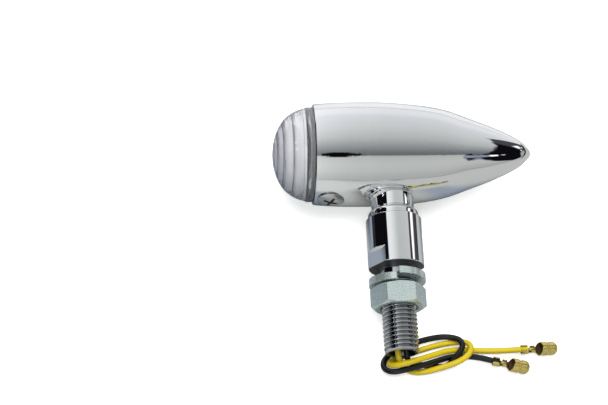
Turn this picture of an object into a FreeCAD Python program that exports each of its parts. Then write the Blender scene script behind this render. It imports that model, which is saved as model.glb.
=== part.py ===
import FreeCAD, Part
import math
import os

# Bullet turn signal with a hollow M10 stud, lying on its side. Millimetres, +Z up, and the
# surface it lies on is Z = 0.
# Pieces of the lamp are drawn upright: X along the bullet to the nose, Z along the stem (the stud
# points down), with the origin where the bullet's axis meets the stem's axis. lay() then lays the
# lamp on the surface.

V = FreeCAD.Vector

# how the lamp lies
DROOP = 8.13            # stem below the horizontal, degrees
AXIS_HEIGHT = 15.66     # bullet axis above the surface
SHIFT_X = -3.9
SHIFT_Y = 22.96

# bullet housing
SEAM_X = -23.0
HOUSING_PROFILE = [(-23.0, 15.0), (-19.5, 15.32), (-14.7, 15.56), (-8.7, 15.66), (-2.7, 15.6),
                   (3.3, 15.2), (9.0, 14.62), (14.0, 13.85), (18.5, 12.7), (22.7, 11.2),
                   (27.6, 9.42), (32.5, 7.5), (36.0, 5.95), (38.6, 4.6), (40.8, 3.0), (42.1, 1.6)]
NOSE_X = 42.8
HOLLOW_PROFILE = [(-13.6, 13.72), (-8.7, 13.86), (-2.7, 13.8), (3.3, 13.4), (9.0, 12.7), (14.0, 11.8),
                  (18.5, 10.5), (22.7, 8.9), (27.0, 7.1), (31.0, 5.3), (34.5, 3.4)]
HOLLOW_END_X = 37.2
MOUTH_R = 13.0
RIB_R = 12.2
RIB_X = -15.6
RIB_T = 1.2
BOSS_R = 9.0
BOSS_TOP_Z = -10.4

# stem
BORE_R = 3.6
NECK_R = 6.2
SWIVEL_CLEARANCE = 0.06
STEP_Z = -12.7
SPIGOT_R = 5.0
SPIGOT_TOP_Z = -7.7
NECK_END_Z = -18.2
BARREL_R = 8.1
BEAD_R = 7.38
BARREL_TOP_Z = -21.5
BARREL_END_Z = -36.2
FLAT_Z = -31.5
FLAT_AF = 14.0
FLAT_TURN = 59.0        # flats' normal, from the side that lies uppermost towards the lens, degrees

# threaded stud M10 x 1.25
STUD_R = 5.0
STUD_WAIST_R = 4.8
STUD_FREE_Z = -49.0
STUD_END_Z = -61.55
STUD_CHAMFER = 0.5

# lock washer and nut
WASHER_R = 8.2
WASHER_BORE_R = 5.2
WASHER_T = 2.0
WASHER_RISE = 1.7
WASHER_TOP_Z = -38.25
WASHER_GAP = 6.0        # degrees
NUT_AF = 14.0
NUT_TOP_Z = -42.05
NUT_BOTTOM_Z = -48.4
NUT_BORE_R = 5.06

# inside the swivel
KEEPER_NUT_AF = 14.0
KEEPER_BORE_R = 5.04

# lens
LENS_PROFILE = [(-25.4, 13.85), (-27.4, 13.25), (-29.4, 12.25), (-31.2, 10.85), (-32.6, 9.05),
                (-33.75, 6.75), (-34.5, 4.25), (-34.85, 2.2)]
LENS_TIP_X = -35.0
LENS_HOLLOW = [(-25.4, 11.7), (-27.4, 11.25), (-29.2, 10.35), (-30.7, 9.1), (-31.9, 7.4), (-32.8, 5.4)]
LENS_HOLLOW_TIP_X = -33.6
LENS_FLANGE_R = 14.1
SKIRT_R = 12.94
SKIRT_BORE_R = 11.7
SKIRT_END_X = -17.0
GASKET_R = 13.6
GASKET_BORE_R = 13.05
GASKET_X = -25.2

# lens screw
SCREW_X = -18.4
SCREW_HEAD_R = 4.0
SCREW_SHANK_R = 1.5
SCREW_SEAT_Z = -14.9
SCREW_TURN = -5.0        # from the stem towards the side that lies uppermost, degrees about X

# reflector, socket and bulb
REFLECTOR_R = 12.94
SOCKET_R = 5.6
SOCKET_BORE_R = 4.7
SOCKET_FRONT_X = -15.4
SOCKET_REAR_X = -2.4
CAP_R = 4.62
GLASS_R = 4.4
BULB_TIP_X = -31.4

# wires and terminals
WIRE_R = 0.85
LEAD_TOP = {"yellow": (-0.4, -0.95), "black": (0.6, 0.95)}
YELLOW_ROUTE = [(-1.5, -56.4, 7.3), (-0.9, -60.5, 5.5), (-0.3, -62.4, 3.9), (1.2, -63.4, 1.9),
                (4.0, -64.2, 0.9), (7.2, -64.2, 1.3), (11.5, -63.6, 2.7), (16.3, -62.4, 3.5),
                (19.9, -60.0, 3.6), (20.8, -57.2, 3.1), (19.5, -55.3, 1.9), (15.7, -55.0, 0.9),
                (10.9, -55.9, 0.9), (5.6, -57.5, 0.9), (0.9, -59.1, 0.9), (-2.3, -60.7, 1.3),
                (-3.3, -61.9, 2.3), (-2.7, -63.1, 3.7), (-0.3, -63.7, 5.7), (4.2, -62.3, 5.4),
                (9.1, -60.1, 3.4), (13.8, -57.9, 1.7), (18.6, -57.4, 0.9), (24.2, -57.8, 0.9),
                (29.9, -58.0, 1.2), (35.3, -58.05, 1.97)]
BLACK_ROUTE = [(1.5, -56.4, 7.2), (1.4, -60.7, 5.1), (2.4, -62.2, 3.4), (4.6, -61.9, 1.7),
               (8.0, -62.2, 0.9), (11.3, -62.7, 0.9), (14.0, -62.3, 0.9), (16.0, -60.4, 2.9),
               (17.9, -58.3, 3.4), (18.3, -56.3, 3.4), (17.0, -54.7, 3.0), (13.5, -53.6, 2.0),
               (9.4, -53.7, 1.0), (4.7, -55.0, 0.9), (0.2, -56.6, 0.9), (-3.6, -59.2, 0.9),
               (-4.9, -61.5, 1.3), (-4.5, -63.6, 1.9), (-2.4, -64.8, 2.9), (0.9, -64.6, 3.9),
               (5.3, -63.4, 3.7), (9.9, -61.7, 2.7), (13.9, -59.8, 1.2), (18.0, -59.3, 0.9),
               (21.6, -59.6, 0.9), (24.4, -60.4, 1.4), (26.7, -61.4, 1.97)]
YELLOW_TIP = (45.9, -57.8, 2.0)
BLACK_TIP = (37.1, -64.0, 2.0)
TERMINAL_R = 1.95
TERMINAL_BORE_R = 1.5
TERMINAL_LENGTH = 10.6


def cylinder(radius, z_low, z_high):
    return Part.makeCylinder(radius, z_high - z_low, V(0, 0, z_low), V(0, 0, 1))


def ring(r_outer, r_inner, z_low, z_high):
    return cylinder(r_outer, z_low, z_high).cut(cylinder(r_inner, z_low - 1, z_high + 1))


def rod_x(radius, x_low, x_high):
    return Part.makeCylinder(radius, x_high - x_low, V(x_low, 0, 0), V(1, 0, 0))


def ring_x(r_outer, r_inner, x_low, x_high):
    return rod_x(r_outer, x_low, x_high).cut(rod_x(r_inner, x_low - 1, x_high + 1))


def between(radius, start, end):
    way = V(*end).sub(V(*start))
    return Part.makeCylinder(radius, way.Length, V(*start), way)


def turned_x(points):
    corners = [V(x, r, 0) for x, r in points]
    corners.append(corners[0])
    face = Part.Face(Part.makePolygon(corners))
    return face.revolve(V(0, 0, 0), V(1, 0, 0), 360)


def turned_z(points):
    corners = [V(r, 0, z) for r, z in points]
    corners.append(corners[0])
    face = Part.Face(Part.makePolygon(corners))
    return face.revolve(V(0, 0, 0), V(0, 0, 1), 360)


def blunt_x(profile, tip_x, start_slope, tail):
    """A solid of revolution about X under a smooth profile that ends square on the axis."""
    points = [V(x, r, 0) for x, r in profile]
    points.append(V(tip_x, 0, 0))
    curve = Part.BSplineCurve()
    curve.interpolate(Points=points, InitialTangent=V(*start_slope), FinalTangent=V(0, -1, 0))
    edges = [curve.toShape()]
    corners = [points[-1]]
    corners.extend(V(x, r, 0) for x, r in tail)
    corners.append(points[0])
    for a, b in zip(corners[:-1], corners[1:]):
        edges.append(Part.LineSegment(a, b).toShape())
    face = Part.Face(Part.Wire(edges))
    return face.revolve(V(0, 0, 0), V(1, 0, 0), 360)


def hexagon(across_flats, z_low, z_high, turn=0.0):
    """A hexagonal prism on Z with a flat facing -Y, turned about Z by so many degrees."""
    corner = across_flats / 2 / math.cos(math.radians(30))
    points = []
    for k in range(7):
        a = math.radians(60 * k + turn)
        points.append(V(corner * math.cos(a), corner * math.sin(a), z_low))
    face = Part.Face(Part.makePolygon(points))
    return face.extrude(V(0, 0, z_high - z_low))


def chamfered_nut(across_flats, bore_r, z_low, z_high):
    corner = across_flats / 2 / math.cos(math.radians(30))
    flat = across_flats / 2 * 0.97
    drop = (corner + 0.4 - flat) * math.tan(math.radians(28))
    body = turned_z([(0, z_low), (flat, z_low), (corner + 0.4, z_low + drop),
                     (corner + 0.4, z_high - drop), (flat, z_high), (0, z_high)])
    nut = hexagon(across_flats, z_low, z_high).common(body)
    nut = nut.cut(cylinder(bore_r, z_low - 1, z_high + 1))
    for z, way in ((z_low, 1), (z_high, -1)):
        mouth = Part.makeCone(bore_r + 0.5, bore_r, 0.5, V(0, 0, z), V(0, 0, way))
        nut = nut.cut(mouth)
    return nut


def to_screw(shape):
    """Turns what was drawn straight along the stem round to where the screw is."""
    shape.rotate(V(0, 0, 0), V(1, 0, 0), SCREW_TURN)
    return shape


def housing():
    outer = blunt_x(HOUSING_PROFILE, NOSE_X, (1, 0.12, 0), [(SEAM_X, 0)])
    hollow = blunt_x(HOLLOW_PROFILE, HOLLOW_END_X, (1, 0.05, 0), [(HOLLOW_PROFILE[0][0], 0)])
    rib_end = RIB_X + RIB_T
    back = turned_x([(rib_end, 0), (rib_end, RIB_R), (HOLLOW_PROFILE[0][0], HOLLOW_PROFILE[0][1]),
                     (HOLLOW_PROFILE[0][0] + 0.5, 13.0), (HOLLOW_PROFILE[0][0] + 0.5, 0)])
    shell = outer.cut(hollow).cut(back)
    shell = shell.cut(rod_x(MOUTH_R, SEAM_X - 1, RIB_X)).cut(rod_x(RIB_R, RIB_X - 1, rib_end + 0.1))
    edge = turned_x([(SEAM_X - 0.1, 15.3), (SEAM_X - 0.1, 14.65), (SEAM_X + 0.35, 15.3)])
    shell = shell.cut(edge)
    boss = cylinder(BOSS_R, -15.0, BOSS_TOP_Z).common(outer)
    shell = shell.fuse(boss)
    shell = shell.cut(cylinder(NECK_R + SWIVEL_CLEARANCE, -20, STEP_Z + 0.1))
    shell = shell.cut(cylinder(SPIGOT_R + SWIVEL_CLEARANCE, -20, BOSS_TOP_Z + 1))
    seat = Part.makeCone(SCREW_SHANK_R + 0.3, SCREW_HEAD_R + 0.1, 2.3,
                         V(SCREW_X, 0, SCREW_SEAT_Z + 1.9), V(0, 0, -1))
    recess = Part.makeCylinder(SCREW_HEAD_R + 0.1, 3, V(SCREW_X, 0, SCREW_SEAT_Z - 0.4), V(0, 0, -1))
    hole = Part.makeCylinder(SCREW_SHANK_R + 0.1, 8, V(SCREW_X, 0, -10), V(0, 0, -1))
    return shell.cut(to_screw(seat.fuse(recess).fuse(hole))).removeSplitter()


def stem():
    upper = [(0, SPIGOT_TOP_Z), (SPIGOT_R - 0.4, SPIGOT_TOP_Z), (SPIGOT_R, SPIGOT_TOP_Z - 0.4),
             (SPIGOT_R, STEP_Z), (NECK_R, STEP_Z), (NECK_R, NECK_END_Z),
             (NECK_R - 0.25, NECK_END_Z - 0.15), (NECK_R - 0.25, NECK_END_Z - 0.4),
             (NECK_R + 0.15, NECK_END_Z - 0.5)]
    lower = [(BEAD_R, BARREL_TOP_Z + 1.3), (BEAD_R, BARREL_TOP_Z + 0.3),
             (BARREL_R - 0.2, BARREL_TOP_Z + 0.2), (BARREL_R, BARREL_TOP_Z),
             (BARREL_R, BARREL_END_Z + 0.2), (BARREL_R - 0.2, BARREL_END_Z), (0, BARREL_END_Z),
             (0, SPIGOT_TOP_Z)]
    bead_middle = V(NECK_R + 0.85, 0, NECK_END_Z - 0.95)
    edges = Part.makePolygon([V(r, 0, z) for r, z in upper]).Edges
    edges.append(Part.Arc(edges[-1].Vertexes[1].Point, bead_middle,
                          V(BEAD_R, 0, BARREL_TOP_Z + 1.3)).toShape())
    edges.extend(Part.makePolygon([V(r, 0, z) for r, z in lower]).Edges)
    body = Part.Face(Part.Wire(edges)).revolve(V(0, 0, 0), V(0, 0, 1), 360)
    body = body.cut(cylinder(BORE_R, BARREL_END_Z - 1, SPIGOT_TOP_Z + 1))
    body = body.cut(cylinder(STUD_WAIST_R, BARREL_END_Z - 1, BARREL_END_Z + 8))
    for side in (1, -1):
        block = Part.makeBox(20, 6, FLAT_Z - BARREL_END_Z + 1, V(-10, FLAT_AF / 2, BARREL_END_Z - 1))
        block.rotate(V(0, 0, 0), V(0, 0, 1), 90 * (1 - side) + 180 - FLAT_TURN)
        body = body.cut(block)
    return body


def threaded_stud():
    body = turned_z([(0, BARREL_END_Z + 8), (STUD_WAIST_R, BARREL_END_Z + 8),
                     (STUD_WAIST_R, STUD_FREE_Z + 0.2), (STUD_R, STUD_FREE_Z),
                     (STUD_R, STUD_END_Z + STUD_CHAMFER), (STUD_R - STUD_CHAMFER, STUD_END_Z),
                     (0, STUD_END_Z)])
    body = body.cut(cylinder(BORE_R, STUD_END_Z - 1, BARREL_END_Z + 9))
    lip = Part.makeCone(BORE_R + 0.35, BORE_R, 0.35, V(0, 0, STUD_END_Z), V(0, 0, 1))
    return body.cut(lip)


def keeper_washer():
    return ring(8.0, KEEPER_BORE_R, BOSS_TOP_Z + 0.1, BOSS_TOP_Z + 0.7)


def keeper_nut():
    return chamfered_nut(KEEPER_NUT_AF, KEEPER_BORE_R, BOSS_TOP_Z + 0.75, BOSS_TOP_Z + 2.4)


def lock_washer():
    """One turn of square wire, wound left-handed, with its split towards -Y."""
    turn = 360.0 - WASHER_GAP
    pitch = WASHER_RISE * 360.0 / turn
    middle = (WASHER_R + WASHER_BORE_R) / 2
    half = (WASHER_R - WASHER_BORE_R) / 2
    helix = Part.makeHelix(pitch, WASHER_RISE, middle, 0, True)
    corners = [V(middle - half, 0, -WASHER_T / 2), V(middle + half, 0, -WASHER_T / 2),
               V(middle + half, 0, WASHER_T / 2), V(middle - half, 0, WASHER_T / 2)]
    corners.append(corners[0])
    section = Part.makePolygon(corners)
    body = Part.Wire(helix).makePipeShell([section], True, True)
    body.rotate(V(0, 0, 0), V(1, 0, 0), 180)
    body.rotate(V(0, 0, 0), V(0, 0, 1), -90 - WASHER_GAP / 2)
    body.translate(V(0, 0, WASHER_TOP_Z - WASHER_T / 2))
    return body


def hex_nut():
    return chamfered_nut(NUT_AF, NUT_BORE_R, NUT_BOTTOM_Z, NUT_TOP_Z)


def lens():
    back = [(LENS_HOLLOW_TIP_X - 0.5, 0), (SEAM_X - 0.1, 0), (SEAM_X - 0.1, LENS_FLANGE_R),
            (-25.2, LENS_FLANGE_R)]
    dome = blunt_x(LENS_PROFILE, LENS_TIP_X, (-1, -0.15, 0), back)
    hollow = blunt_x(LENS_HOLLOW, LENS_HOLLOW_TIP_X, (-1, -0.02, 0), [(LENS_HOLLOW[0][0], 0)])
    skirt = rod_x(SKIRT_R, SEAM_X - 1, SKIRT_END_X)
    skirt_bore = rod_x(SKIRT_BORE_R, LENS_HOLLOW[0][0] - 0.01, SKIRT_END_X + 1)
    body = dome.cut(hollow).fuse(skirt).cut(skirt_bore)
    body = body.cut(ring_x(GASKET_R + 0.05, GASKET_BORE_R - 0.05, GASKET_X, SEAM_X + 1))
    slot_r = SCREW_SHANK_R + 0.35
    slot = Part.makeBox(12, 2 * slot_r, 6, V(SCREW_X, -slot_r, -15))
    slot = slot.fuse(Part.makeCylinder(slot_r, 6, V(SCREW_X, 0, -15), V(0, 0, 1)))
    return body.cut(to_screw(slot)).removeSplitter()


def lens_gasket():
    return ring_x(GASKET_R, GASKET_BORE_R, GASKET_X, SEAM_X - 0.1)


def lens_screw():
    cone = Part.makeCone(SCREW_SHANK_R, SCREW_HEAD_R, 2.0, V(SCREW_X, 0, SCREW_SEAT_Z + 1.6),
                         V(0, 0, -1))
    shank = Part.makeCylinder(SCREW_SHANK_R, 3.4, V(SCREW_X, 0, -15), V(0, 0, 1))
    ball_r = (SCREW_HEAD_R ** 2 + 0.9 ** 2) / (2 * 0.9)
    top_z = SCREW_SEAT_Z - 0.4
    cap = Part.makeSphere(ball_r, V(SCREW_X, 0, top_z + ball_r - 0.9))
    cap = cap.common(Part.makeCylinder(SCREW_HEAD_R, 2, V(SCREW_X, 0, top_z), V(0, 0, -1)))
    screw = cone.fuse(shank).fuse(cap)
    for turn in (25, 115):
        arm = Part.makeBox(4.4, 0.9, 1.7, V(-2.2, -0.45, top_z - 1.0))
        arm.rotate(V(0, 0, 0), V(0, 0, 1), turn)
        arm.translate(V(SCREW_X, 0, 0))
        screw = screw.cut(arm)
    return to_screw(screw.removeSplitter())


def reflector():
    bowl = turned_x([(-16.6, REFLECTOR_R), (-15.7, REFLECTOR_R), (-15.7, 11.4), (-13.4, 10.0),
                     (-11.2, 8.2), (-9.6, 6.6), (-8.8, 6.6), (-8.8, 5.66), (-9.6, 5.66),
                     (-10.2, 6.2), (-11.8, 7.9), (-14.0, 9.6), (-16.6, 11.2)])
    return bowl


def socket_shell():
    tube = ring_x(SOCKET_R, SOCKET_BORE_R, SOCKET_FRONT_X, SOCKET_REAR_X)
    flange = ring_x(6.6, SOCKET_BORE_R, -8.8, -8.2)
    shell = tube.fuse(flange)
    for side in (1, -1):
        slot = Part.makeBox(6.2, 1.6, 3, V(SOCKET_FRONT_X - 0.2, -0.8, 3.5 if side > 0 else -6.5))
        shell = shell.cut(slot)
    return shell.removeSplitter()


def socket_insulator():
    return ring_x(SOCKET_BORE_R, 0.75, -3.4, -2.5)


def contact_spring():
    return ring_x(2.4, 1.8, -6.15, -3.45)


def contact_plunger():
    disc = rod_x(3.9, -6.9, -6.2)
    pin = rod_x(0.6, -6.3, -3.6)
    return disc.fuse(pin)


def bulb_cap():
    cap = ring_x(CAP_R, CAP_R - 0.35, -17.2, -8.4)
    cap = cap.fuse(ring_x(CAP_R, 2.2, -8.6, -8.2))
    for side in (1, -1):
        pin = Part.makeCylinder(0.7, 0.95, V(-11.4, 0, side * (CAP_R - 0.15)), V(0, 0, side))
        cap = cap.fuse(pin)
    return cap.removeSplitter()


def bulb_foot():
    foot = rod_x(2.2, -8.6, -7.8)
    tip = Part.makeSphere(1.5, V(-8.4, 0, 0)).common(rod_x(2, -7.8, -6))
    return foot.fuse(tip)


def bulb_glass():
    ball = GLASS_R
    end = Part.makeSphere(ball, V(BULB_TIP_X + ball, 0, 0))
    body = rod_x(GLASS_R, BULB_TIP_X + ball, -17.2).fuse(end)
    neck = rod_x(CAP_R - 0.4, -17.2, -12.0)
    inner = rod_x(GLASS_R - 0.5, BULB_TIP_X + ball, -18.4)
    inner = inner.fuse(Part.makeSphere(ball - 0.5, V(BULB_TIP_X + ball, 0, 0)))
    return body.fuse(neck).cut(inner).removeSplitter()


def bulb_filament():
    parts = between(0.2, (-18.4, 1.6, 0), (-25.2, 1.6, 0))
    parts = parts.fuse(between(0.2, (-18.4, -1.6, 0), (-25.2, -1.6, 0)))
    return parts.fuse(between(0.35, (-25.2, -1.9, 0), (-25.2, 1.9, 0)))


def to_upright(point):
    """A point of the lying lamp, before the shift, in the upright lamp's frame."""
    a = math.radians(90 - DROOP)
    x, y, z = point
    z = z - AXIS_HEIGHT
    return (x, y * math.cos(a) - z * math.sin(a), y * math.sin(a) + z * math.cos(a))


def stem_lead(colour, route):
    x, y = LEAD_TOP[colour]
    return between(WIRE_R, (x, y, SPIGOT_TOP_Z), to_upright(route[0]))


def yellow_head_lead():
    return tube([(-0.4, -0.95, SPIGOT_TOP_Z + 0.3), (0.0, -0.95, -4.6), (1.5, -0.5, -1.8),
                 (0.6, 0.0, 0.0), (-2.5, 0.0, 0.0)], "yellow head lead")


def black_head_lead():
    return tube([(0.6, 0.95, SPIGOT_TOP_Z + 0.3), (0.8, 1.7, -5.2), (1.5, 2.6, -3.3), (0.6, 3.0, -2.2),
                 (-1.9, 3.0, -2.2)], "black head lead")


def ground_tab():
    tab = Part.makeBox(0.5, 2.4, 2.4, V(-2.4, 1.8, -3.4))
    return tab.common(rod_x(SOCKET_R, -3, 0))


def tube(route, name):
    """A wire of round section: straight runs joined by tangent arcs as large as the runs allow."""
    points = [V(*p) for p in route]
    edges = []
    radii = []
    start = points[0]
    for a, b, c in zip(points[:-2], points[1:-1], points[2:]):
        u = a.sub(b)
        v = c.sub(b)
        reach = 0.45 * min(u.Length, v.Length)
        half = (math.pi - u.getAngle(v)) / 2
        radius = reach / math.tan(half)
        radii.append(round(radius, 1))
        u.normalize()
        v.normalize()
        first = b.add(V(u).multiply(reach))
        last = b.add(V(v).multiply(reach))
        inward = u.add(v)
        inward.normalize()
        centre = b.add(V(inward).multiply(radius / math.cos(half)))
        middle = centre.sub(V(inward).multiply(radius))
        edges.append(Part.LineSegment(start, first).toShape())
        edges.append(Part.Arc(first, middle, last).toShape())
        start = last
    edges.append(Part.LineSegment(start, points[-1]).toShape())
    path = Part.Wire(edges)
    way = points[1].sub(points[0])
    section = Part.Wire(Part.makeCircle(WIRE_R, points[0], way))
    body = path.makePipeShell([section], True, False)
    ideal = math.pi * WIRE_R ** 2 * path.Length
    print(name, "length", round(path.Length, 1), "arc radii", radii)
    print(name, "volume", round(body.Volume, 2), "section x length", round(ideal, 2), body.isValid())
    return body


def terminal(start, tip):
    """A crimped bullet plug along X from its wire, then turned to run from start towards tip."""
    grip = ring_x(1.35, 0.5, 0, 2.1).cut(Part.makeBox(2.2, 0.5, 3, V(-0.05, -0.25, 0.55)))
    neck = ring_x(1.05, 0.5, 2.7, 4.3)
    web = Part.makeBox(5.8, 1.5, 0.4, V(0.4, -0.75, -1.25))
    body = turned_x([(5.0, TERMINAL_BORE_R), (5.0, TERMINAL_R), (7.4, TERMINAL_R),
                     (7.65, TERMINAL_R - 0.25), (7.95, TERMINAL_R - 0.25), (8.2, TERMINAL_R),
                     (9.5, TERMINAL_R), (10.25, 1.5), (TERMINAL_LENGTH, 0.8), (TERMINAL_LENGTH, 0),
                     (9.3, 0), (9.3, TERMINAL_BORE_R)])
    plate = Part.makeBox(1.2, 1.5, 0.8, V(4.4, -0.75, -1.9))
    plug = grip.fuse(neck).fuse(web).fuse(plate).fuse(body)
    way = V(*tip).sub(V(*start))
    plug.Placement = FreeCAD.Placement(V(*start), FreeCAD.Rotation(V(1, 0, 0), way))
    return plug


def lay(shape):
    shape.rotate(V(0, 0, 0), V(1, 0, 0), -(90 - DROOP))
    shape.translate(V(SHIFT_X, SHIFT_Y, AXIS_HEIGHT))
    return shape


def slide_over(shape):
    shape.translate(V(SHIFT_X, SHIFT_Y, 0))
    return shape


def save(name, shape):
    if len(shape.Solids) == 1:
        shape = shape.Solids[0]
    print(name, "solids", len(shape.Solids), "valid", shape.isValid(), "volume", round(shape.Volume, 2))
    shape.exportStep(os.path.join("parts", name + ".step"))


os.makedirs("parts", exist_ok=True)

save("housing", lay(housing()))
save("stem", lay(stem()))
save("threaded_stud", lay(threaded_stud()))
save("keeper_washer", lay(keeper_washer()))
save("keeper_nut", lay(keeper_nut()))
save("lock_washer", lay(lock_washer()))
save("hex_nut", lay(hex_nut()))
save("lens", lay(lens()))
save("lens_gasket", lay(lens_gasket()))
save("lens_screw", lay(lens_screw()))
save("reflector", lay(reflector()))
save("socket_shell", lay(socket_shell()))
save("socket_insulator", lay(socket_insulator()))
save("ground_tab", lay(ground_tab()))
save("contact_spring", lay(contact_spring()))
save("contact_plunger", lay(contact_plunger()))
save("bulb_cap", lay(bulb_cap()))
save("bulb_foot", lay(bulb_foot()))
save("bulb_glass", lay(bulb_glass()))
save("bulb_filament", lay(bulb_filament()))
save("yellow_head_lead", lay(yellow_head_lead()))
save("black_head_lead", lay(black_head_lead()))
save("yellow_stem_lead", lay(stem_lead("yellow", YELLOW_ROUTE)))
save("black_stem_lead", lay(stem_lead("black", BLACK_ROUTE)))
save("yellow_wire", slide_over(tube(YELLOW_ROUTE, "yellow wire")))
save("black_wire", slide_over(tube(BLACK_ROUTE, "black wire")))
save("yellow_terminal", slide_over(terminal(YELLOW_ROUTE[-1], YELLOW_TIP)))
save("black_terminal", slide_over(terminal(BLACK_ROUTE[-1], BLACK_TIP)))
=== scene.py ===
import math

import bmesh
import bpy
from mathutils import Matrix, Vector


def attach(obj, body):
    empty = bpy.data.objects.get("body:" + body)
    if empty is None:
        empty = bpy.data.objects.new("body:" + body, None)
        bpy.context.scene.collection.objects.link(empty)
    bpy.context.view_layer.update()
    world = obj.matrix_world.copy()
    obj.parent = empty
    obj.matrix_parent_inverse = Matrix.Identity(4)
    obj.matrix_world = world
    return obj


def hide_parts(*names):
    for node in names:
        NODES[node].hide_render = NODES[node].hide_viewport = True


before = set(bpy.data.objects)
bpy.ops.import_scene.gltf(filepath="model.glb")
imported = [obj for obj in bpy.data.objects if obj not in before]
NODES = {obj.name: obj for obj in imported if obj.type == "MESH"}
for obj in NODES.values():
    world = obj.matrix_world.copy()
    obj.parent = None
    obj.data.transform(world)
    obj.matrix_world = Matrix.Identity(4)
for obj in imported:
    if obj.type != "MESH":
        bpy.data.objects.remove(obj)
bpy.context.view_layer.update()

# ------------------------------------------------------ the design's own numbers, millimetres
DROOP = math.radians(8.13)
CENTRE = Vector((-3.9, 22.96, 15.66))
SHIFT = Vector((-3.9, 22.96, 0.0))
BORE_R = 3.6
WIRE_R = 0.85


def lay(point):
    """A point of the upright lamp (bullet along X, stem along -Z) as it lies, in metres."""
    a = DROOP - math.pi / 2
    x, y, z = point
    turned = Vector((x, y * math.cos(a) - z * math.sin(a), y * math.sin(a) + z * math.cos(a)))
    return (turned + CENTRE) / 1000.0


def over(points):
    """Cord points of the lying lamp, in millimetres, as metres in the frame."""
    return [(Vector(p) + SHIFT) / 1000.0 for p in points]


# ------------------------------------------------------ camera
SENSOR_MM = 36.0
LENS_MM = 75.17
CLIP = (0.01, 20.0)
CAMERA_PLACE = (-0.056735, -0.181778, 0.332739)
cam_data = bpy.data.cameras.new("camera")
cam_data.sensor_width = SENSOR_MM
cam_data.lens = LENS_MM
cam_data.clip_start, cam_data.clip_end = CLIP
camera = bpy.data.objects.new("camera", cam_data)
bpy.context.scene.collection.objects.link(camera)
right = Vector((0.997379, -0.043014, 0.058177))
down = Vector((-0.007275, -0.859635, -0.510857))
ahead = Vector((0.071985, 0.509095, -0.857695))
turn = Matrix((right, -down, -ahead)).transposed()
camera.matrix_world = Matrix.Translation(CAMERA_PLACE) @ turn.to_4x4()
bpy.context.scene.camera = camera

bpy.context.scene.view_settings.view_transform = "Standard"

# ------------------------------------------------------ cords
YELLOW_ROUTE = [(-1.5, -56.4, 7.3), (-0.9, -60.5, 5.5), (-0.3, -62.4, 3.9), (1.2, -63.4, 1.9),
                (4.0, -64.2, 0.9), (7.2, -64.2, 1.3), (11.5, -63.6, 2.7), (16.3, -62.4, 3.5),
                (19.9, -60.0, 3.6), (20.8, -57.2, 3.1), (19.5, -55.3, 1.9), (15.7, -55.0, 0.9),
                (10.9, -55.9, 0.9), (5.6, -57.5, 0.9), (0.9, -59.1, 0.9), (-2.3, -60.7, 1.3),
                (-3.3, -61.9, 2.3), (-2.7, -63.1, 3.7), (-0.3, -63.7, 5.7), (4.2, -62.3, 5.4),
                (9.1, -60.1, 3.4), (13.8, -57.9, 1.7), (18.6, -57.4, 0.9), (24.2, -57.8, 0.9),
                (29.9, -58.0, 1.2), (35.3, -58.05, 1.97)]
BLACK_ROUTE = [(1.5, -56.4, 7.2), (1.4, -60.7, 5.1), (2.4, -62.2, 3.4), (4.6, -61.9, 1.7),
               (8.0, -62.2, 0.9), (11.3, -62.7, 0.9), (14.0, -62.3, 0.9), (16.0, -60.4, 2.9),
               (17.9, -58.3, 3.4), (18.3, -56.3, 3.4), (17.0, -54.7, 3.0), (13.5, -53.6, 2.0),
               (9.4, -53.7, 1.0), (4.7, -55.0, 0.9), (0.2, -56.6, 0.9), (-3.6, -59.2, 0.9),
               (-4.9, -61.5, 1.3), (-4.5, -63.6, 1.9), (-2.4, -64.8, 2.9), (0.9, -64.6, 3.9),
               (5.3, -63.4, 3.7), (9.9, -61.7, 2.7), (13.9, -59.8, 1.2), (18.0, -59.3, 0.9),
               (21.6, -59.6, 0.9), (24.4, -60.4, 1.4), (26.7, -61.4, 1.97)]
YELLOW_TIP = (45.9, -57.8, 2.0)
BLACK_TIP = (37.1, -64.0, 2.0)


def wire(name, route, node):
    curve = bpy.data.curves.new(name, "CURVE")
    curve.dimensions = "3D"
    curve.bevel_depth = 1.0
    curve.bevel_resolution = 8
    curve.resolution_u = 16
    curve.use_fill_caps = True
    spline = curve.splines.new("NURBS")
    points = over(route)
    spline.points.add(len(points) - 1)
    for p, c in zip(spline.points, points):
        p.co = (c.x, c.y, c.z, 1.0)
        p.radius = WIRE_R / 1000.0
    spline.order_u = 3
    spline.use_endpoint_u = True
    obj = bpy.data.objects.new(name, curve)
    bpy.context.scene.collection.objects.link(obj)
    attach(obj, "stem")
    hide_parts(node)
    return obj


yellow_wire = wire("yellow_lead", YELLOW_ROUTE, "yellow_wire")
black_wire = wire("black_lead", BLACK_ROUTE, "black_wire")


# ------------------------------------------------------ node helpers
def linear(*srgb):
    out = []
    for v in srgb:
        v = v / 255.0
        out.append(v / 12.92 if v <= 0.04045 else ((v + 0.055) / 1.055) ** 2.4)
    return tuple(out)


NOISE_ROUGHNESS = 0.55
BEVEL_SAMPLES = 6
FINE_BUMP = 0.00005     # height of the fine grain, metres


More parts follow.
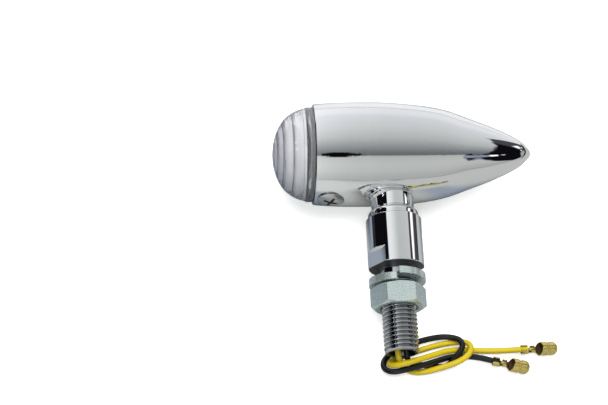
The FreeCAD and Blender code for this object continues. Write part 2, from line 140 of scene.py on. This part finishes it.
class Tree:
    """Short calls for building nodes in a node tree, which is emptied first unless it is kept."""

    def __init__(self, tree, keep=False):
        self.tree = tree
        if not keep:
            tree.nodes.clear()

    def new(self, kind, **values):
        node = self.tree.nodes.new(kind)
        for k, v in values.items():
            setattr(node, k, v)
        return node

    def link(self, a, b):
        self.tree.links.new(a, b)

    def put(self, socket, value):
        if isinstance(value, bpy.types.NodeSocket):
            self.link(value, socket)
        else:
            socket.default_value = value

    def math(self, operation, a, b=0.0, c=None, clamp=False):
        node = self.new("ShaderNodeMath", operation=operation, use_clamp=clamp)
        self.put(node.inputs[0], a)
        self.put(node.inputs[1], b)
        if c is not None:
            self.put(node.inputs[2], c)
        return node.outputs[0]

    def step(self, value, low, high):
        node = self.new("ShaderNodeMapRange", interpolation_type="SMOOTHSTEP")
        self.put(node.inputs["Value"], value)
        self.put(node.inputs["From Min"], low)
        self.put(node.inputs["From Max"], high)
        return node.outputs["Result"]

    def ramp(self, value, stops):
        node = self.new("ShaderNodeValToRGB")
        self.link(value, node.inputs[0])
        elements = node.color_ramp.elements
        while len(elements) < len(stops):
            elements.new(0.5)
        for e, (at, colour) in zip(elements, stops):
            e.position = at
            e.color = (*colour, 1.0)
        return node.outputs[0]

    def mix(self, factor, a, b, kind="MIX"):
        node = self.new("ShaderNodeMix", data_type="RGBA", blend_type=kind)
        self.put(node.inputs[0], factor)
        self.put(node.inputs[6], a if isinstance(a, bpy.types.NodeSocket) else (*a, 1.0))
        self.put(node.inputs[7], b if isinstance(b, bpy.types.NodeSocket) else (*b, 1.0))
        return node.outputs[2]

    def place(self):
        return self.new("ShaderNodeTexCoord").outputs["Object"]

    def noise(self, scale, detail=3.0):
        node = self.new("ShaderNodeTexNoise")
        node.inputs["Scale"].default_value = scale
        node.inputs["Detail"].default_value = detail
        node.inputs["Roughness"].default_value = NOISE_ROUGHNESS
        self.link(self.place(), node.inputs["Vector"])
        return node.outputs["Fac"]

    def bump(self, height, strength, distance, normal=None):
        node = self.new("ShaderNodeBump")
        node.inputs["Strength"].default_value = strength
        node.inputs["Distance"].default_value = distance
        self.link(height, node.inputs["Height"])
        if normal:
            self.link(normal, node.inputs["Normal"])
        return node.outputs[0]

    def rounded(self, radius):
        node = self.new("ShaderNodeBevel")
        node.samples = BEVEL_SAMPLES
        node.inputs["Radius"].default_value = radius
        return node.outputs[0]


def material(name):
    mat = bpy.data.materials.new(name)
    mat.use_nodes = True
    t = Tree(mat.node_tree)
    out = t.new("ShaderNodeOutputMaterial")
    shader = t.new("ShaderNodeBsdfPrincipled")
    t.link(shader.outputs[0], out.inputs[0])
    return mat, t, shader


def reopen(mat):
    """A finished material's nodes and its shader, to add to."""
    t = Tree(mat.node_tree, keep=True)
    return t, next(n for n in t.tree.nodes if n.type == "BSDF_PRINCIPLED")


def plated(name, dark, light, rough_low, rough_high, scale, bump=0.0, bevel=0.0):
    """A plated metal: its tint and its roughness drift a little from place to place."""
    mat, t, shader = material(name)
    drift = t.noise(scale, 4.0)
    t.link(t.mix(drift, dark, light), shader.inputs["Base Color"])
    shader.inputs["Metallic"].default_value = 1.0
    fine = t.noise(scale * 9.0, 2.0)
    span = t.new("ShaderNodeMapRange")
    t.link(fine, span.inputs["Value"])
    span.inputs["To Min"].default_value = rough_low
    span.inputs["To Max"].default_value = rough_high
    t.link(span.outputs["Result"], shader.inputs["Roughness"])
    normal = t.rounded(bevel) if bevel else None
    if bump:
        normal = t.bump(fine, bump, FINE_BUMP, normal)
    if normal:
        t.link(normal, shader.inputs["Normal"])
    return mat


CHROME_LIGHT = (0.86, 0.865, 0.875)
CHROME_DARK = (0.83, 0.835, 0.845)
chrome = plated("chrome_plate", CHROME_DARK, CHROME_LIGHT, 0.015, 0.035, 40.0)
chrome_turned = plated("chrome_turned", CHROME_DARK, CHROME_LIGHT, 0.02, 0.05, 60.0, bevel=0.00018)
chrome_thread = plated("chrome_thread", (0.44, 0.45, 0.47), (0.58, 0.59, 0.61), 0.04, 0.10, 300.0,
                       bump=0.04)
zinc = plated("zinc_plate", (0.48, 0.60, 0.61), (0.63, 0.67, 0.62), 0.18, 0.32, 130.0,
              bump=0.06, bevel=0.0002)
zinc.node_tree.nodes["Principled BSDF"].inputs["Metallic"].default_value = 0.74
steel = plated("screw_steel", (0.50, 0.49, 0.48), (0.66, 0.65, 0.63), 0.16, 0.28, 300.0,
               bump=0.1, bevel=0.00012)
plain_steel = plated("socket_steel", (0.45, 0.45, 0.44), (0.6, 0.6, 0.58), 0.2, 0.35, 200.0)
bright = plated("reflector_bright", (0.8, 0.8, 0.81), (0.88, 0.88, 0.88), 0.04, 0.1, 100.0)
brass = plated("aged_brass", (0.44, 0.30, 0.06), (0.92, 0.78, 0.28), 0.18, 0.36, 900.0, bump=0.5)
brass.node_tree.nodes["Principled BSDF"].inputs["Metallic"].default_value = 0.85
inner_brass = plated("contact_brass", (0.55, 0.42, 0.18), (0.7, 0.56, 0.26), 0.25, 0.4, 300.0)


# the stem end's dark colour: partly a duller face, partly painted shade
DULL_AND_PAINTED_SHADE = (0.16, 0.16, 0.165)
DULL_ROUGHER = 0.5
EDGE_BLUR = 0.00002     # metres
# painted shade: the dark colour of the thread's grooves
GROOVE_PAINTED_SHADE = (0.30, 0.305, 0.315)


def dull_and_shade_end(mat, axis, centre, beyond):
    """Darkens and dulls what lies further along the axis than so many metres from the centre:
    partly a duller face, partly painted shade.
    """
    t, shader = reopen(mat)
    dot = t.new("ShaderNodeVectorMath", operation="DOT_PRODUCT")
    t.link(t.place(), dot.inputs[0])
    dot.inputs[1].default_value = axis
    reach = axis.dot(centre) + beyond
    mask = t.step(dot.outputs["Value"], reach - EDGE_BLUR, reach + EDGE_BLUR)
    colour = shader.inputs["Base Color"].links[0].from_socket
    t.link(t.mix(mask, colour, DULL_AND_PAINTED_SHADE), shader.inputs["Base Color"])
    rough = shader.inputs["Roughness"].links[0].from_socket
    rougher = t.math("ADD", rough, t.math("MULTIPLY", mask, DULL_ROUGHER), clamp=True)
    t.link(rougher, shader.inputs["Roughness"])


def painted_groove_shade(mat, axis, centre, root, crest):
    """Paints shade into a thread's grooves: the painted shade follows the distance from the axis.
    """
    t, shader = reopen(mat)
    arm = t.new("ShaderNodeVectorMath", operation="SUBTRACT")
    t.link(t.place(), arm.inputs[0])
    arm.inputs[1].default_value = centre
    cross = t.new("ShaderNodeVectorMath", operation="CROSS_PRODUCT")
    t.link(arm.outputs[0], cross.inputs[0])
    cross.inputs[1].default_value = axis
    away = t.new("ShaderNodeVectorMath", operation="LENGTH")
    t.link(cross.outputs[0], away.inputs[0])
    mask = t.step(away.outputs["Value"], root, crest)
    colour = shader.inputs["Base Color"].links[0].from_socket
    t.link(t.mix(mask, GROOVE_PAINTED_SHADE, colour), shader.inputs["Base Color"])


STEM_WAY = Vector((0.0, -math.cos(DROOP), -math.sin(DROOP)))
# the span over which the painted groove shade runs
THREAD_PAINTED_SHADE = (0.0042, 0.00485)    # from the groove's root to its crest, metres from the axis
BARREL_FACE = 0.03614               # the barrel's square end, metres from the bullet's axis
# painted shade in the thread's grooves
painted_groove_shade(chrome_thread, STEM_WAY, CENTRE / 1000.0, *THREAD_PAINTED_SHADE)
# the square end: partly a duller face, partly painted shade for the shadowed floor it mirrors
dull_and_shade_end(chrome_turned, STEM_WAY, CENTRE / 1000.0, BARREL_FACE)


def plastic(name, dark, light, rough, bump, scale):
    """A plastic, rubber or fibre whose colour drifts a little, with a fine grain."""
    mat, t, shader = material(name)
    drift = t.noise(scale, 4.0)
    t.link(t.mix(drift, dark, light), shader.inputs["Base Color"])
    shader.inputs["Roughness"].default_value = rough
    t.link(t.bump(t.noise(scale * 8.0), bump, FINE_BUMP), shader.inputs["Normal"])
    return mat


yellow_pvc = plastic("yellow_pvc", linear(186, 163, 6), linear(202, 180, 18), 0.38, 0.15, 220.0)
tarnish = plastic("tarnished_inside", linear(40, 26, 22), linear(84, 60, 34), 0.6, 0.4, 900.0)
black_pvc = plastic("black_pvc", linear(5, 5, 8), linear(12, 12, 15), 0.30, 0.2, 220.0)
gasket_rubber = plastic("gasket_rubber", linear(34, 33, 30), linear(50, 48, 44), 0.6, 0.3, 400.0)
fibre = plastic("socket_fibre", linear(100, 66, 40), linear(132, 90, 58), 0.8, 0.5, 500.0)
bulb_black = plastic("bulb_foot_glass", linear(18, 18, 20), linear(34, 34, 38), 0.25, 0.1, 300.0)

# bulb glass
bulb_glass_mat, t, shader = material("bulb_glass")
t.link(t.mix(t.noise(200.0), (0.93, 0.96, 0.97), (0.97, 0.99, 1.0)), shader.inputs["Base Color"])
shader.inputs["Transmission Weight"].default_value = 1.0
shader.inputs["Roughness"].default_value = 0.02
shader.inputs["IOR"].default_value = 1.45

# moulded clear lens: clearest in the flange, behind rim_x
RIM_X = -25.35
RIM_BLUR = 0.0002       # metres
DOME_CLEAR, FLANGE_CLEAR = 0.93, 0.98
lens_mat, t, shader = material("clear_moulded_lens")
place = t.new("ShaderNodeSeparateXYZ")
t.link(t.place(), place.inputs[0])
rim_x = (RIM_X + CENTRE.x) / 1000.0
clearness = t.new("ShaderNodeMapRange")
t.link(place.outputs[0], clearness.inputs["Value"])
clearness.inputs["From Min"].default_value = rim_x - RIM_BLUR
clearness.inputs["From Max"].default_value = rim_x + RIM_BLUR
clearness.inputs["To Min"].default_value = DOME_CLEAR
clearness.inputs["To Max"].default_value = FLANGE_CLEAR
t.link(clearness.outputs["Result"], shader.inputs["Transmission Weight"])
milk = t.mix(t.noise(120.0, 2.0), linear(243, 243, 246), linear(252, 252, 253))
t.link(milk, shader.inputs["Base Color"])
shader.inputs["Roughness"].default_value = 0.04
shader.inputs["IOR"].default_value = 1.49
t.link(t.bump(t.noise(900.0, 2.0), 0.06, 0.00004), shader.inputs["Normal"])

# stands in for the light that the ridges of the clear lens scatter
frosted, t, shader = material("frosted_lens_inside")
frost = t.mix(t.noise(160.0, 2.0), linear(212, 212, 218), linear(228, 228, 232))
t.link(frost, shader.inputs["Base Color"])
shader.inputs["Roughness"].default_value = 0.22
shader.inputs["Alpha"].default_value = 0.72
t.link(t.bump(t.noise(700.0, 2.0), 0.08, 0.00004), shader.inputs["Normal"])


# ------------------------------------------------------ mesh helpers
def piece(name, mesh, body, mats, replaced):
    """Adds a smooth visual piece that rides on a body."""
    obj = bpy.data.objects.new(name, mesh)
    bpy.context.scene.collection.objects.link(obj)
    for m in mats:
        mesh.materials.append(m)
    for p in mesh.polygons:
        p.use_smooth = True
    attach(obj, body)
    if replaced:
        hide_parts(*replaced)
    return obj


def lathe(profile, segments, place=lay, closed=True):
    """Vertices and faces of a profile, (along, radius) pairs in millimetres, turned round X."""
    verts, faces, rings = [], [], []
    for s, r in profile:
        if r < 1e-6:
            verts.append(place((s, 0, 0)))
            rings.append([len(verts) - 1])
            continue
        ring = []
        for k in range(segments):
            a = 2 * math.pi * k / segments
            verts.append(place((s, r * math.cos(a), r * math.sin(a))))
            ring.append(len(verts) - 1)
        rings.append(ring)
    pairs = list(zip(rings[:-1], rings[1:]))
    if closed:
        pairs.append((rings[-1], rings[0]))
    for a, b in pairs:
        if len(a) == 1 and len(b) == 1:
            continue
        for k in range(segments):
            j = (k + 1) % segments
            if len(a) == 1:
                faces.append((a[0], b[j], b[k]))
            elif len(b) == 1:
                faces.append((a[k], a[j], b[0]))
            else:
                faces.append((a[k], a[j], b[j], b[k]))
    return verts, faces


def mesh_of(name, verts, faces):
    mesh = bpy.data.meshes.new(name)
    mesh.from_pydata([tuple(v) for v in verts], [], faces)
    bm = bmesh.new()
    bm.from_mesh(mesh)
    bmesh.ops.recalc_face_normals(bm, faces=bm.faces)
    bm.to_mesh(mesh)
    bm.free()
    return mesh


def catmull(points, steps):
    """A smooth line through the points."""
    out = []
    n = len(points)
    for i in range(n - 1):
        p0 = points[max(i - 1, 0)]
        p1, p2 = points[i], points[i + 1]
        p3 = points[min(i + 2, n - 1)]
        for k in range(steps):
            t = k / steps
            out.append(tuple(0.5 * (2 * b + (c - a) * t + (2 * a - 5 * b + 4 * c - d) * t * t
                                    + (3 * b - a - 3 * c + d) * t ** 3)
                             for a, b, c, d in zip(p0, p1, p2, p3)))
    out.append(tuple(points[-1]))
    return out


# ------------------------------------------------------ threaded stud
PITCH = 1.25
THREAD_ROOT_R, THREAD_DEPTH = 4.27, 0.71
CREST_SHARE, ROOT_SHARE = 0.16, 0.2         # of the pitch
WAIST_R = 4.8                               # plain, above the thread
THREAD_START, THREAD_FADE = -38.6, 0.8
STUD_TOP, STUD_END = -28.2, -61.55
CHAMFER_R, CHAMFER_SLOPE, CHAMFER_Z = 4.42, 0.9, 0.7
STUD_SEGMENTS = 120
THREAD_STEP = 0.07
STUD_MOUTH = [(4.3, STUD_END), (4.05, STUD_END), (3.92, STUD_END + 0.08), (3.68, STUD_END + 0.34),
              (BORE_R, STUD_END + 0.5), (BORE_R, -50.0), (BORE_R, STUD_TOP)]


def thread_radius(turn, z):
    """The stud's radius at a share of a turn and a height: a rounded trapezoid on a helix."""
    u = (z / PITCH - turn) % 1.0
    side = (1.0 - CREST_SHARE - ROOT_SHARE) / 2
    d = abs(u - 0.5)
    if d < CREST_SHARE / 2:
        h = 1.0
    elif d < CREST_SHARE / 2 + side:
        h = 1.0 - (d - CREST_SHARE / 2) / side
    else:
        h = 0.0
    h = h * h * (3 - 2 * h)
    r = THREAD_ROOT_R + THREAD_DEPTH * h
    r = WAIST_R + (r - WAIST_R) * min(max((THREAD_START - z) / THREAD_FADE, 0.0), 1.0)
    if z < STUD_END + CHAMFER_Z:
        return min(r, CHAMFER_R + (z - STUD_END) * CHAMFER_SLOPE)
    return r


def threaded_stud():
    heights = [STUD_TOP, -36.0, -38.0, THREAD_START]
    z = -38.7
    while z > STUD_END + 0.02:
        heights.append(z)
        z -= THREAD_STEP
    heights.append(STUD_END)
    shares = [k / STUD_SEGMENTS for k in range(STUD_SEGMENTS)]
    rows = [(z, [thread_radius(turn, z) for turn in shares]) for z in heights]
    rows += [(z, [r] * STUD_SEGMENTS) for r, z in STUD_MOUTH]
    verts, faces, rings = [], [], []
    for z, radii in rows:
        ring = []
        for k, r in enumerate(radii):
            a = 2 * math.pi * k / STUD_SEGMENTS
            verts.append(lay((r * math.cos(a), r * math.sin(a), z)))
            ring.append(len(verts) - 1)
        rings.append(ring)
    for a, b in zip(rings, rings[1:] + rings[:1]):
        for k in range(STUD_SEGMENTS):
            j = (k + 1) % STUD_SEGMENTS
            faces.append((a[k], a[j], b[j], b[k]))
    return mesh_of("stud_with_thread", verts, faces)


piece("stud_with_thread", threaded_stud(), "stem", [chrome_thread], ["threaded_stud"])


# ------------------------------------------------------ lens with moulded ridges
LENS_PROFILE = [(-25.4, 13.85), (-27.4, 13.25), (-29.4, 12.25), (-31.2, 10.85), (-32.6, 9.05),
                (-33.75, 6.75), (-34.5, 4.25), (-34.85, 2.2), (-35.0, 0.0)]
LENS_HOLLOW = [(-33.4, 0.0), (-33.0, 3.6), (-31.9, 7.4), (-30.7, 9.1), (-29.2, 10.35),
               (-27.4, 11.25), (-25.4, 11.7)]
LENS_FLANGE = [(-23.1, 13.95), (-23.3, 14.1), (-25.0, 14.1), (-25.2, 14.0)]
LENS_SKIRT = [(-25.2, 11.7), (-17.0, 11.7), (-17.0, 12.9), (-23.15, 12.9), (-23.15, 13.0),
              (-25.15, 13.0), (-25.15, 13.65), (-23.1, 13.65)]
CREASES = [0.0, 2.4, 5.7, 9.1, 12.0, 13.6]  # radii between which the rings bulge
CREASE_DEPTH = 0.62
SHELL_WALL, LINER_DEPTH = 0.30, 0.34
LINER_RIM_X = -25.5
LENS_SEGMENTS = 160
DOME_STEPS, HOLLOW_STEPS = 24, 8


def scallop(r):
    """How far the dome is set in at a radius: nothing amid a ring, most at its creases."""
    for low, high in zip(CREASES, CREASES[1:]):
        if low <= r < high:
            depth = CREASE_DEPTH if low > 0 else CREASE_DEPTH * r / high
            return depth * (1 - math.sin(math.pi * (r - low) / (high - low)))
    return 0.0


def inset(line, depth):
    """The line moved in from the dome's outside, square to it, by depth(radius) millimetres."""
    out = []
    for (x0, r0), (x, r), (x1, r1) in zip(line[:1] + line[:-1], line, line[1:] + line[-1:]):
        size = math.hypot(x1 - x0, r1 - r0) or 1.0
        d = depth(r)
        out.append((x - d * (r1 - r0) / size, max(r + d * (x1 - x0) / size, 0.0)))
    out[-1] = (line[-1][0] + depth(0.0), 0.0)
    return out


def shell_mesh():
    """The clear outside: smooth in front, scalloped behind, with the flange and the skirt."""
    outer = catmull(LENS_PROFILE, DOME_STEPS)
    back = inset(outer, lambda r: SHELL_WALL + scallop(r))[::-1]
    verts, faces = lathe(LENS_FLANGE + outer + back + LENS_SKIRT, LENS_SEGMENTS)
    return mesh_of("lens_with_ridges", verts, faces)


def liner_mesh():
    """The frosted inner side that carries the ridges."""
    front = inset(catmull(LENS_PROFILE, DOME_STEPS), lambda r: LINER_DEPTH + scallop(r))
    start = next(i for i, (x, _) in enumerate(front) if x < LINER_RIM_X)
    verts, faces = lathe(front[start:] + catmull(LENS_HOLLOW, HOLLOW_STEPS), LENS_SEGMENTS)
    return mesh_of("lens_ridge_liner", verts, faces)


lens_shell = piece("lens_with_ridges", shell_mesh(), "lens", [lens_mat], ["lens"])
lens_shell.visible_shadow = False   # so the lights reach the liner and the gasket
piece("lens_ridge_liner", liner_mesh(), "lens", [frosted], ())

# ------------------------------------------------------ crimped bullet terminals
# along the plug, radius, and half the angle that the rolled strip spans, from straight below
STRIP = [(0.0, 1.34, 2.35), (0.15, 1.33, 2.55), (1.6, 1.33, 2.6), (1.95, 1.3, 2.1),
         (2.15, 1.2, 0.95), (2.6, 1.08, 0.85), (2.8, 1.05, 1.9), (3.0, 1.05, 2.35),
         (3.9, 1.05, 2.3), (4.15, 1.15, 1.1), (4.5, 1.45, 0.9), (4.9, 1.85, 1.15),
         (5.3, 1.94, 1.6), (5.8, 1.95, 2.3), (6.15, 1.95, 3.08), (6.9, 1.95, 3.1),
         (7.35, 1.94, 3.1), (7.55, 1.76, 3.1), (7.9, 1.74, 3.1), (8.1, 1.92, 3.1),
         (8.5, 1.95, 3.1), (9.3, 1.9, 3.1), (9.9, 1.62, 3.1), (10.3, 1.2, 3.1),
         (10.52, 0.75, 3.1), (10.58, 0.36, 3.1)]
STRIP_WALL = 0.27
STRIP_STEPS = 36
PLUG_R, CLOSED = 1.95, 3.1          # the widest radius, and the half angle where the seam is shut
INSULATION_STUB = [(-0.1, 0), (-0.1, 0.84), (1.9, 0.84), (2.02, 0.7), (2.02, 0)]
CORE_STUB = [(1.9, 0), (1.9, 0.5), (4.1, 0.55), (4.1, 0)]
STUB_SEGMENTS = 24


def strip_mesh(name, start, tip):
    """A rolled strip terminal with the wire's insulation and bare core in its crimps."""
    turned = Vector((1, 0, 0)).rotation_difference((Vector(tip) - Vector(start)).normalized())

    def place(point):
        return (turned @ Vector(point) + Vector(start) + SHIFT) / 1000.0

    verts, faces, rows = [], [], []
    for x, r, half in catmull(STRIP, 4):
        r, half = min(r, PLUG_R), min(half, CLOSED)
        for radius in (r, r - STRIP_WALL):
            row = []
            for k in range(STRIP_STEPS + 1):
                a = half * (2 * k / STRIP_STEPS - 1)
                verts.append(place((x, radius * math.sin(a), -radius * math.cos(a))))
                row.append(len(verts) - 1)
            rows.append(row)
    outer, inner = rows[0::2], rows[1::2]
    for a, b in list(zip(outer, outer[1:])) + list(zip(inner[1:], inner)):
        for k in range(STRIP_STEPS):
            faces.append((a[k], a[k + 1], b[k + 1], b[k]))
    for a, b in ((inner[0], outer[0]), (outer[-1], inner[-1])):
        for k in range(STRIP_STEPS):
            faces.append((a[k], a[k + 1], b[k + 1], b[k]))
    for k in (0, STRIP_STEPS):
        for i in range(len(outer) - 1):
            faces.append((outer[i][k], outer[i + 1][k], inner[i + 1][k], inner[i][k]))
    metal = len(faces)
    for stub in (INSULATION_STUB, CORE_STUB):
        more, sides = lathe(stub, STUB_SEGMENTS, place=place, closed=False)
        faces.extend(tuple(i + len(verts) for i in f) for f in sides)
        verts.extend(more)
        if stub is INSULATION_STUB:
            covered = len(faces)
    mesh = mesh_of(name, verts, faces)
    walls = (len(outer) - 1) * STRIP_STEPS
    for i, polygon in enumerate(mesh.polygons):
        if metal <= i < covered:
            polygon.material_index = 1
        elif walls <= i < 2 * walls:
            polygon.material_index = 2
    return mesh


yellow_plug = piece("yellow_bullet_plug",
                    strip_mesh("yellow_bullet_plug", YELLOW_ROUTE[-1], YELLOW_TIP), "stem",
                    [brass, yellow_pvc, tarnish], ["yellow_terminal"])
black_plug = piece("black_bullet_plug",
                   strip_mesh("black_bullet_plug", BLACK_ROUTE[-1], BLACK_TIP), "stem",
                   [brass, black_pvc, tarnish], ["black_terminal"])

# ------------------------------------------------------ materials on the CAD pieces that show
CAD_LOOKS = {
    "housing": chrome, "stem": chrome_turned, "keeper_washer": zinc,
    "keeper_nut": zinc, "lock_washer": zinc, "hex_nut": zinc,
    "lens_gasket": gasket_rubber, "lens_screw": steel, "reflector": bright,
    "socket_shell": plain_steel, "socket_insulator": fibre, "ground_tab": plain_steel,
    "contact_spring": plain_steel, "contact_plunger": inner_brass, "bulb_cap": inner_brass,
    "bulb_foot": bulb_black, "bulb_glass": bulb_glass_mat, "bulb_filament": plain_steel,
    "yellow_head_lead": yellow_pvc, "black_head_lead": black_pvc, "yellow_stem_lead": yellow_pvc,
    "black_stem_lead": black_pvc,
}
for node, look in CAD_LOOKS.items():
    mesh = NODES[node].data
    mesh.materials.clear()
    mesh.materials.append(look)
yellow_wire.data.materials.append(yellow_pvc)
black_wire.data.materials.append(black_pvc)

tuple(over(YELLOW_ROUTE)[0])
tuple(over(BLACK_ROUTE)[0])

# ------------------------------------------------------ floor
# Plain and pale where the camera sees it. Rays that the chrome reflects or that bounce see other
# shades by place instead, fitted so that the chrome shows the stripes it should.
FLOOR_HALF = 3.0
floor_mesh = bpy.data.meshes.new("floor")
corners = [(i * FLOOR_HALF, j * FLOOR_HALF, 0) for i, j in ((-1, -1), (1, -1), (1, 1), (-1, 1))]
floor_mesh.from_pydata(corners, [], [(0, 1, 2, 3)])
floor = bpy.data.objects.new("floor", floor_mesh)
floor.location = (0, 0, -0.00002)
bpy.context.scene.collection.objects.link(floor)
mat, t, shader = material("floor_paper")
path = t.new("ShaderNodeLightPath")
grain = t.noise(30.0, 3.0)
seen = t.mix(grain, (0.93, 0.93, 0.93), (0.95, 0.95, 0.945))
spot = t.new("ShaderNodeSeparateXYZ")
t.link(t.place(), spot.inputs[0])
across, away, _ = spot.outputs
near = t.mix(t.step(across, -0.03, 0.02), (0.46, 0.47, 0.46), (0.365, 0.372, 0.36))
beside = t.step(t.math("ABSOLUTE", t.math("ADD", across, 0.004)), 0.010, 0.022)
beside = t.math("MULTIPLY", beside, t.step(across, 0.034, 0.022))
beside = t.math("MULTIPLY", beside, t.step(away, -0.026, -0.012))
near = t.mix(beside, near, (0.22, 0.25, 0.29))
near = t.mix(t.step(away, 0.05, 0.10), near, (0.64, 0.64, 0.645))
far = t.math("MAXIMUM", t.step(across, 0.135, 0.155), t.step(across, -0.060, -0.072))
far = t.math("MULTIPLY", far, t.step(away, -0.04, -0.02))
wide = t.math("SUBTRACT", t.math("ABSOLUTE", across), t.math("MULTIPLY", away, 1.1))
far = t.math("MULTIPLY", far, t.step(wide, -0.005, 0.010))
mirrored = t.mix(far, near, (0.012, 0.012, 0.014))
t.link(t.mix(path.outputs["Is Camera Ray"], mirrored, seen), shader.inputs["Base Color"])
shader.inputs["Roughness"].default_value = 0.9
shader.inputs["Specular IOR Level"].default_value = 0.1
shader.inputs["Emission Color"].default_value = (1.0, 1.0, 1.0, 1.0)
t.link(t.math("MULTIPLY", path.outputs["Is Camera Ray"], 0.45), shader.inputs["Emission Strength"])
floor_mesh.materials.append(mat)

# ------------------------------------------------------ surroundings that the chrome mirrors
# Shades by direction: x, and the swing from straight up towards the camera's side, in turns (at).
WHITE = (1.0, 1.0, 1.0)
SKY_GAIN = 0.85
NIGHT, DUSK = linear(13, 13, 18), linear(72, 72, 78)
world = bpy.data.worlds.new("studio")
bpy.context.scene.world = world
world.use_nodes = True
t = Tree(world.node_tree)
out = t.new("ShaderNodeOutputWorld")
back = t.new("ShaderNodeBackground")
t.link(back.outputs[0], out.inputs[0])
coords = t.new("ShaderNodeTexCoord")
split = t.new("ShaderNodeSeparateXYZ")
t.link(coords.outputs["Generated"], split.inputs[0])
x, y, z = split.outputs
swing = t.math("ARCTAN2", t.math("MULTIPLY", y, -1.0), z)
at = t.math("MULTIPLY_ADD", swing, 1 / (2 * math.pi), 0.5)


def stop(degrees, *srgb):
    return ((degrees + 180.0) / 360.0, tuple(c / SKY_GAIN for c in linear(*srgb)))


SKY = [(-100, 226, 227, 228), (-72, 222, 223, 225), (-60, 208, 210, 214), (-48, 203, 205, 208),
       (-32, 197, 199, 199), (-17, 187, 189, 188), (-3, 174, 177, 176), (9, 152, 155, 156),
       (14, 144, 147, 149), (20, 130, 133, 136), (27, 112, 116, 118), (34.8, 98, 101, 101),
       (35.8, 172, 174, 171), (40, 178, 180, 176), (55, 185, 187, 185), (70, 179, 182, 180),
       (85, 166, 169, 166), (100, 170, 172, 170)]
sky = t.ramp(at, [stop(*row) for row in SKY])


def grey(degrees, value):
    return ((degrees + 180.0) / 360.0, (value, value, value))


# beyond this x, at each swing in degrees, the room is dark
EDGE = [(-117, 0.95), (-90, 0.80), (-58, 0.745), (-41, 0.715), (-33, 0.752), (-24, 0.768),
        (-15, 0.80), (15, 0.816), (30, 0.80), (35, 0.78), (42, 0.775), (56, 0.776), (73, 0.804),
        (91, 0.867), (155, 0.98)]
edge = t.ramp(at, [grey(*row) for row in EDGE])
offset = t.math("SUBTRACT", x, edge)
dark_right = t.step(offset, -0.008, 0.012)
dark_left = t.step(x, -0.53, -0.57)
dark = t.math("MAXIMUM", dark_right, dark_left)
glow = t.new("ShaderNodeVectorMath", operation="SCALE")
t.link(sky, glow.inputs[0])
t.link(t.math("MULTIPLY_ADD", t.step(x, 0.22, -0.42), 0.6, 1.0), glow.inputs["Scale"])
shade = t.mix(t.math("MULTIPLY", t.step(at, 0.444, 0.411), t.step(x, 0.5, 0.7)),
              NIGHT, DUSK)
colour = t.mix(dark, glow.outputs[0], shade)
ends = t.step(t.math("ABSOLUTE", x), 0.962, 0.985)
colour = t.mix(ends, colour, (0.42, 0.43, 0.45))


def inside(value, low, high, soft):
    a = t.step(value, low - soft, low + soft)
    b = t.step(value, high + soft, high - soft)
    return t.math("MULTIPLY", a, b)


def card(colour, x_low, x_high, low, high, shade, soft_x, soft):
    """A patch of one shade between two values of x and two swings, in degrees."""
    across = inside(x, x_low, x_high, soft_x)
    along = inside(at, (low + 180.0) / 360.0, (high + 180.0) / 360.0, soft)
    return t.mix(t.math("MULTIPLY", across, along), colour, shade)


# x from and to, swing from and to in degrees, the shade, and how soft its edges are
PATCH = linear(10, 10, 12)
CARDS = [
    (-0.10, 0.10, 30.5, 35.5, PATCH, 0.010, 0.003),
    (-0.055, 0.07, 28.5, 38.0, PATCH, 0.030, 0.003),
    (0.846, 0.910, -56, -34, (1.4, 1.4, 1.4), 0.014, 0.008),
    (0.778, 0.804, 39.0, 47.0, linear(150, 158, 184), 0.010, 0.006),
    (0.806, 0.836, 38.5, 45.5, (1.5, 1.5, 1.55), 0.008, 0.004),
    (0.852, 0.866, 37.5, 40.5, (1.3, 1.3, 1.35), 0.005, 0.003),
    (0.885, 0.91, -72, -62, (1.5, 1.5, 1.55), 0.006, 0.006),
    (0.945, 0.965, -38, -26, (1.5, 1.5, 1.55), 0.006, 0.006),
    (-0.80, -0.72, -14.0, -6.0, (4.0, 4.0, 4.1), 0.010, 0.003),
    (-0.80, -0.72, 9.0, 17.0, (4.0, 4.0, 4.1), 0.010, 0.003),
    (-0.56, -0.40, -105.0, -50.0, (1.7, 1.7, 1.75), 0.02, 0.01),
    (-0.56, -0.40, 10.0, 45.0, (1.7, 1.7, 1.75), 0.02, 0.01),
]
for row in CARDS:
    colour = card(colour, *row)
seen = t.new("ShaderNodeLightPath").outputs["Is Camera Ray"]
t.link(t.mix(seen, colour, WHITE), back.inputs["Color"])

# ------------------------------------------------------ lights
def area(name, place, size, power):
    """A soft round light aimed at the origin, in metres and watts."""
    data = bpy.data.lights.new(name, "AREA")
    data.shape = "DISK"
    data.size = size
    data.energy = power
    obj = bpy.data.objects.new(name, data)
    obj.location = place
    obj.rotation_mode = "QUATERNION"
    obj.rotation_quaternion = (-Vector(place)).to_track_quat("-Z", "Y")
    bpy.context.scene.collection.objects.link(obj)
    obj.visible_glossy = False
    obj.visible_camera = False
    obj.visible_transmission = False


area("overhead", (0.1, 0.1, 1.2), 1.2, 16.0)
area("front", (-0.3, -0.9, 0.9), 0.6, 3.0)

bpy.context.view_layer.update()
